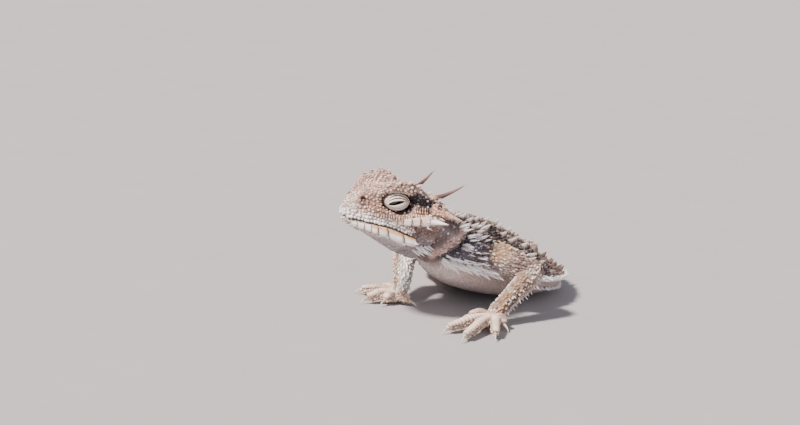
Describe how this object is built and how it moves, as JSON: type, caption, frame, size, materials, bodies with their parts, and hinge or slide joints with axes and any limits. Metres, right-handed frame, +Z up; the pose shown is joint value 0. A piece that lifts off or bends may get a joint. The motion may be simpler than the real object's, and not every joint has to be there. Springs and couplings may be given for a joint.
{
  "type": "horned lizard",
  "caption": "Life-size still model of a desert horned lizard propped on its forelegs with its head turned, belly, hind legs and tail on the ground.",
  "frame": {"origin": "middle of the animal's bounding box on the ground", "axes": "-Y is forward along the chest, +X is the animal's left, +Z is up from the ground"},
  "size_m": [0.0623, 0.0876, 0.0302],
  "materials": {
    "skin": "matte scaly skin, sandy grey-brown with pale spines and dark blotches",
    "horn": "satin keratin, reddish brown with pale tips",
    "eye": "wet dark eye"
  },
  "bodies": {
    "root": {"head": "skin", "jaw": "skin", "neck": "skin", "torso": "skin", "tail": "skin", "upper_arm_left": "skin", "forearm_left": "skin", "hand_left": "skin", "thigh_left": "skin", "shin_left": "skin", "foot_left": "skin", "upper_arm_right": "skin", "forearm_right": "skin", "hand_right": "skin", "thigh_right": "skin", "shin_right": "skin", "foot_right": "skin", "horn_left": "horn", "horn_right": "horn", "eye_left": "eye", "eye_right": "eye"}
  },
  "joints": []
}
